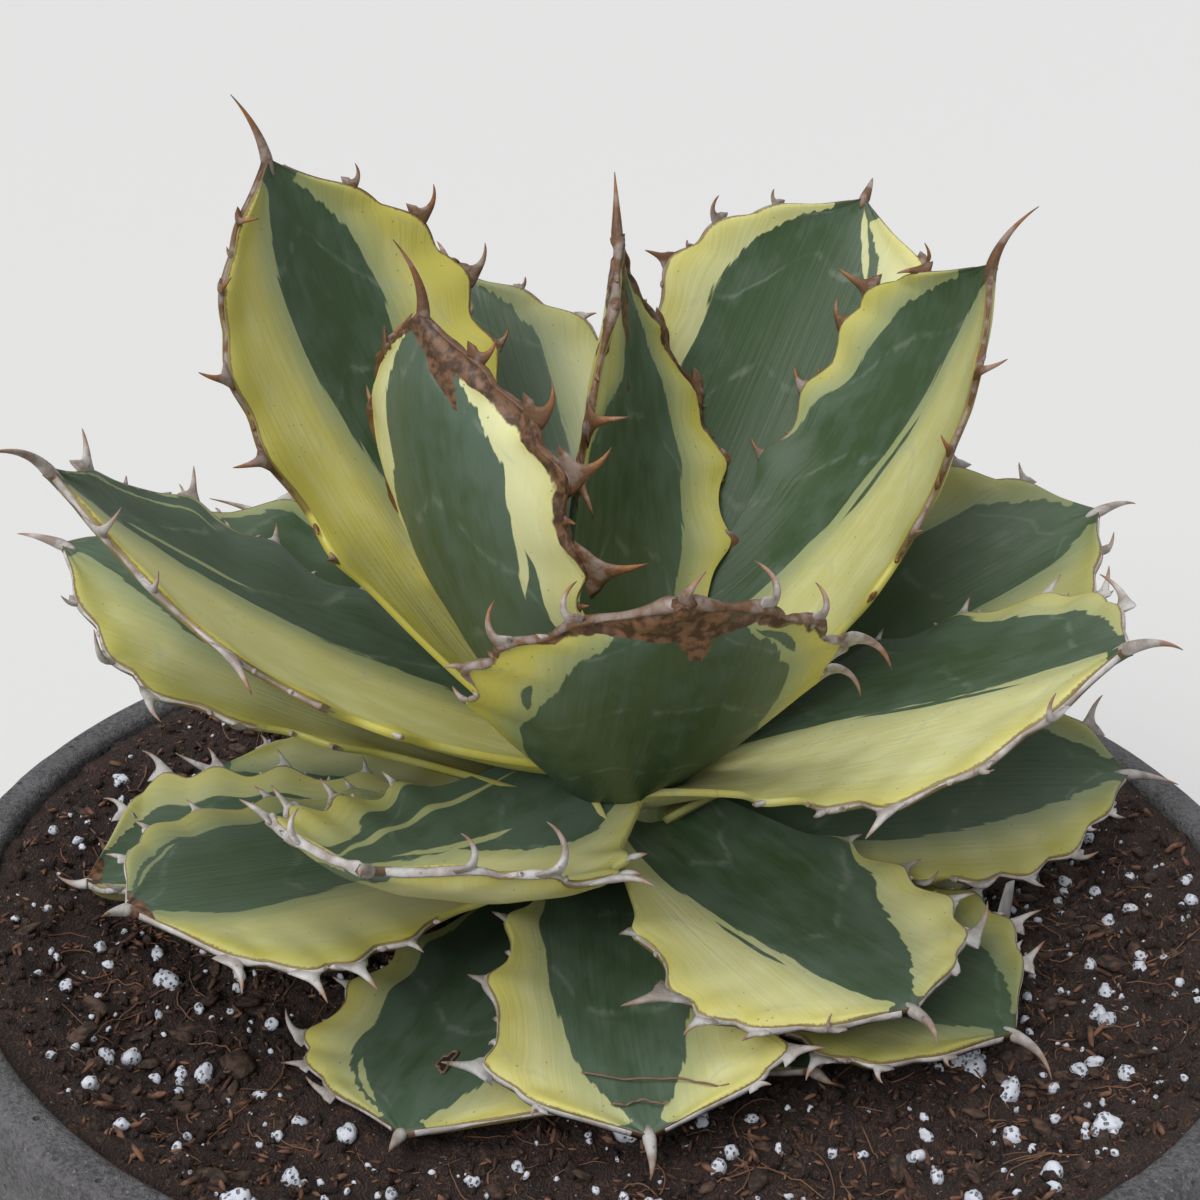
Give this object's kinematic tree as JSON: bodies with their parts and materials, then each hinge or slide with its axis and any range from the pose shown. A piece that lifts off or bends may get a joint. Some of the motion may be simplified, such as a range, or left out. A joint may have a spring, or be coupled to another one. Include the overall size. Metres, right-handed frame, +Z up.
{
  "type": "potted succulent plant",
  "caption": "Potted snaggle tooth agave: a low rosette of broad, channelled, toothed leaves with end spines, in soil in a wide round concrete bowl.",
  "frame": {"origin": "middle of the pot's flat foot, where it stands", "axes": "+Z up along the pot's axis; +X to the right and +Y away, as seen from the picture's side"},
  "size_m": [0.362, 0.362, 0.3491],
  "materials": {
    "concrete": "rough cast, pitted",
    "soil": "loose, crumbly",
    "stem": "smooth, waxy",
    "leaf": "smooth, waxy, green with yellow margins"
  },
  "bodies": {
    "root": {"pot": "concrete", "soil": "soil", "stem": "stem", "leaf_00": "leaf", "leaf_01": "leaf", "leaf_02": "leaf", "leaf_03": "leaf", "leaf_04": "leaf", "leaf_05": "leaf", "leaf_06": "leaf", "leaf_07": "leaf", "leaf_08": "leaf", "leaf_09": "leaf", "leaf_10": "leaf", "leaf_11": "leaf", "leaf_12": "leaf", "leaf_13": "leaf", "leaf_14": "leaf", "leaf_15": "leaf", "leaf_16": "leaf", "leaf_17": "leaf", "leaf_18": "leaf", "leaf_19": "leaf", "leaf_20": "leaf", "leaf_21": "leaf", "leaf_22": "leaf", "leaf_23": "leaf", "leaf_24": "leaf", "leaf_25": "leaf"}
  },
  "joints": []
}
